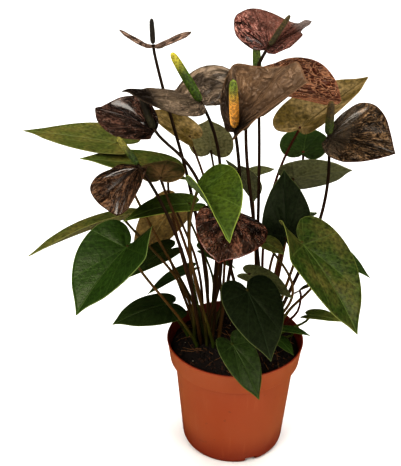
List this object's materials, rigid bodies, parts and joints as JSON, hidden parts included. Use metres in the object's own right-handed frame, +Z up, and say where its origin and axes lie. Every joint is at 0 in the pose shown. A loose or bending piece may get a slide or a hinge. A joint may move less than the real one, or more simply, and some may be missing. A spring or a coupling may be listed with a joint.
{
  "type": "potted anthurium plant",
  "caption": "Leafy plant with heart-shaped green leaves and dark glossy blooms, in a terracotta-coloured nursery pot.",
  "frame": {"origin": "centre of the pot's underside, on the ground", "axes": "+Z up along the pot's axis, -Y towards the plant's front as pictured, +X to its right"},
  "size_m": [0.4271, 0.3302, 0.549],
  "materials": {
    "pot": "satin terracotta-orange moulded plastic",
    "peat": "moist dark fibrous peat",
    "leaf": "waxy dark green leaf",
    "spathe": "glossy black-brown quilted spathe",
    "spadix": "matte green and yellow florets"
  },
  "bodies": {
    "root": {"bloom_back_centre": "spathe", "bloom_centre_low": "spathe", "bloom_front_centre": "spathe", "bloom_left": "spathe", "bloom_left_low": "spathe", "bloom_right": "spathe", "bloom_top_left": "spathe", "bloom_top_right": "spathe", "bloom_upper_centre": "spathe", "leaf_back_left": "leaf", "leaf_back_right": "leaf", "leaf_behind_low": "leaf", "leaf_brown_left": "leaf", "leaf_far_left": "leaf", "leaf_front_bright": "leaf", "leaf_front_left": "leaf", "leaf_front_low": "leaf", "leaf_front_right": "leaf", "leaf_high_back": "leaf", "leaf_high_left": "leaf", "leaf_high_right": "leaf", "leaf_high_yellow": "leaf", "leaf_low_left": "leaf", "leaf_low_right": "leaf", "leaf_low_right_dark": "leaf", "leaf_mid_left": "leaf", "leaf_mid_left_brown": "leaf", "leaf_narrow_left": "leaf", "leaf_over_rim": "leaf", "leaf_right_back": "leaf", "leaf_right_grey": "leaf", "leaf_right_low_back": "leaf", "leaf_seedling_front": "leaf", "leaf_seedling_right": "leaf", "leaf_shade_low": "leaf", "leaf_shade_mid": "leaf", "leaf_shade_small": "leaf", "leaf_small_centre": "leaf", "leaf_strip_left": "leaf", "leaf_upright_dark": "leaf", "leaf_young_brown": "leaf", "peat": "peat", "pot": "pot", "spadix_back_centre": "spadix", "spadix_centre_low": "spadix", "spadix_front_centre": "spadix", "spadix_left": "spadix", "spadix_left_low": "spadix", "spadix_right": "spadix", "spadix_top_left": "spadix", "spadix_top_right": "spadix", "spadix_upper_centre": "spadix"}
  },
  "joints": []
}
